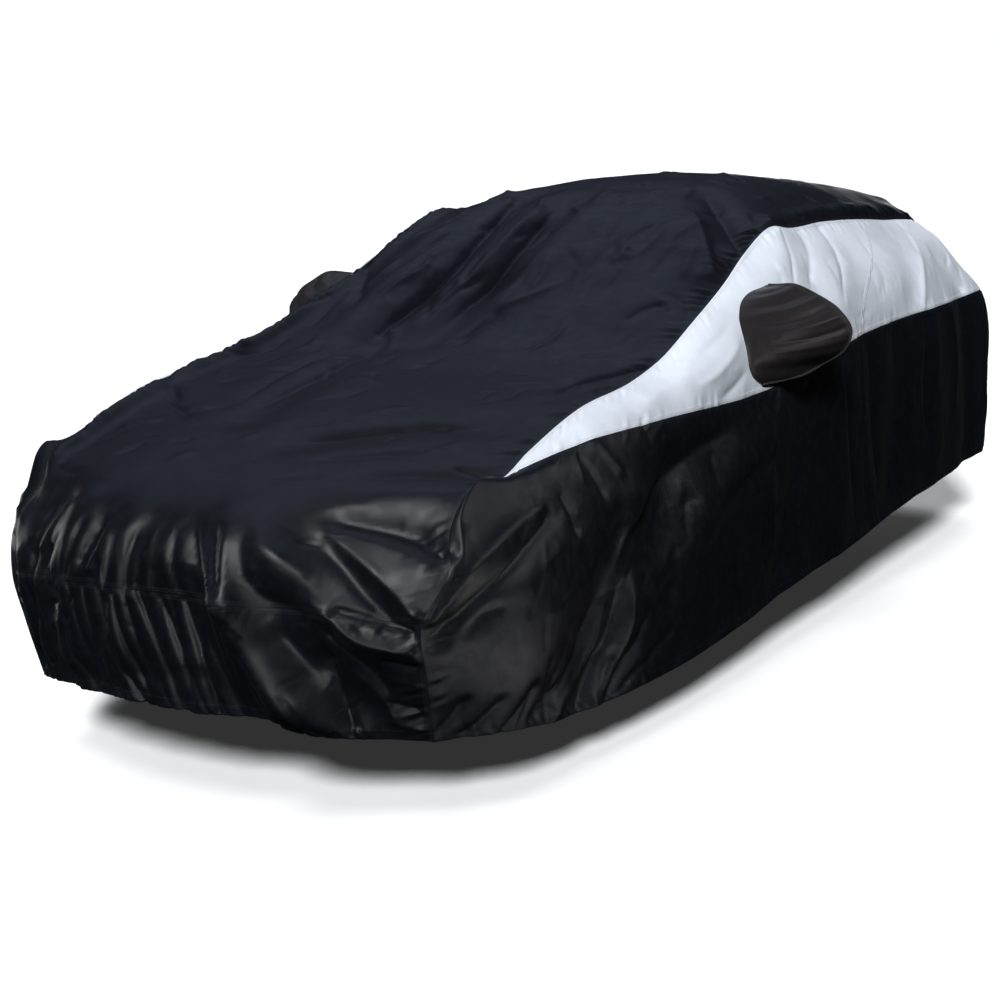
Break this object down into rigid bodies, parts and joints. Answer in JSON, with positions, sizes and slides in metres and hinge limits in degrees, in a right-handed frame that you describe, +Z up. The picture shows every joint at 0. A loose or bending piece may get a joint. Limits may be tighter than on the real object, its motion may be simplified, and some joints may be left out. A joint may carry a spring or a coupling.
{
  "type": "car cover",
  "caption": "Fitted cloth cover in the draped shape of a saloon car, black with silver side gussets, piped mirror pouches and a gathered hem.",
  "frame": {"origin": "underside of the cloth under the top of the roof, on the centreline", "axes": "+Y from nose to tail, +X to the cover's left side, +Z up"},
  "size_m": [2.1366, 4.7324, 1.3081],
  "materials": {
    "black_cloth": "satin coated polyester weave, dark grey-black",
    "silver_cloth": "satin silver-white coated polyester",
    "pouch_cloth": "satin warm dark grey polyester",
    "piping": "black piping cord in woven tape"
  },
  "bodies": {
    "root": {"top_panel": "black_cloth", "front_panel": "black_cloth", "rear_panel": "black_cloth", "side_front_left": "black_cloth", "side_front_right": "black_cloth", "side_rear_left": "black_cloth", "side_rear_right": "black_cloth", "gusset_front_left": "silver_cloth", "gusset_front_right": "silver_cloth", "gusset_rear_left": "silver_cloth", "gusset_rear_right": "silver_cloth", "pouch_face_left": "pouch_cloth", "pouch_face_right": "pouch_cloth", "pouch_back_left": "pouch_cloth", "pouch_back_right": "pouch_cloth", "pouch_piping_left": "piping", "pouch_piping_right": "piping"}
  },
  "joints": []
}
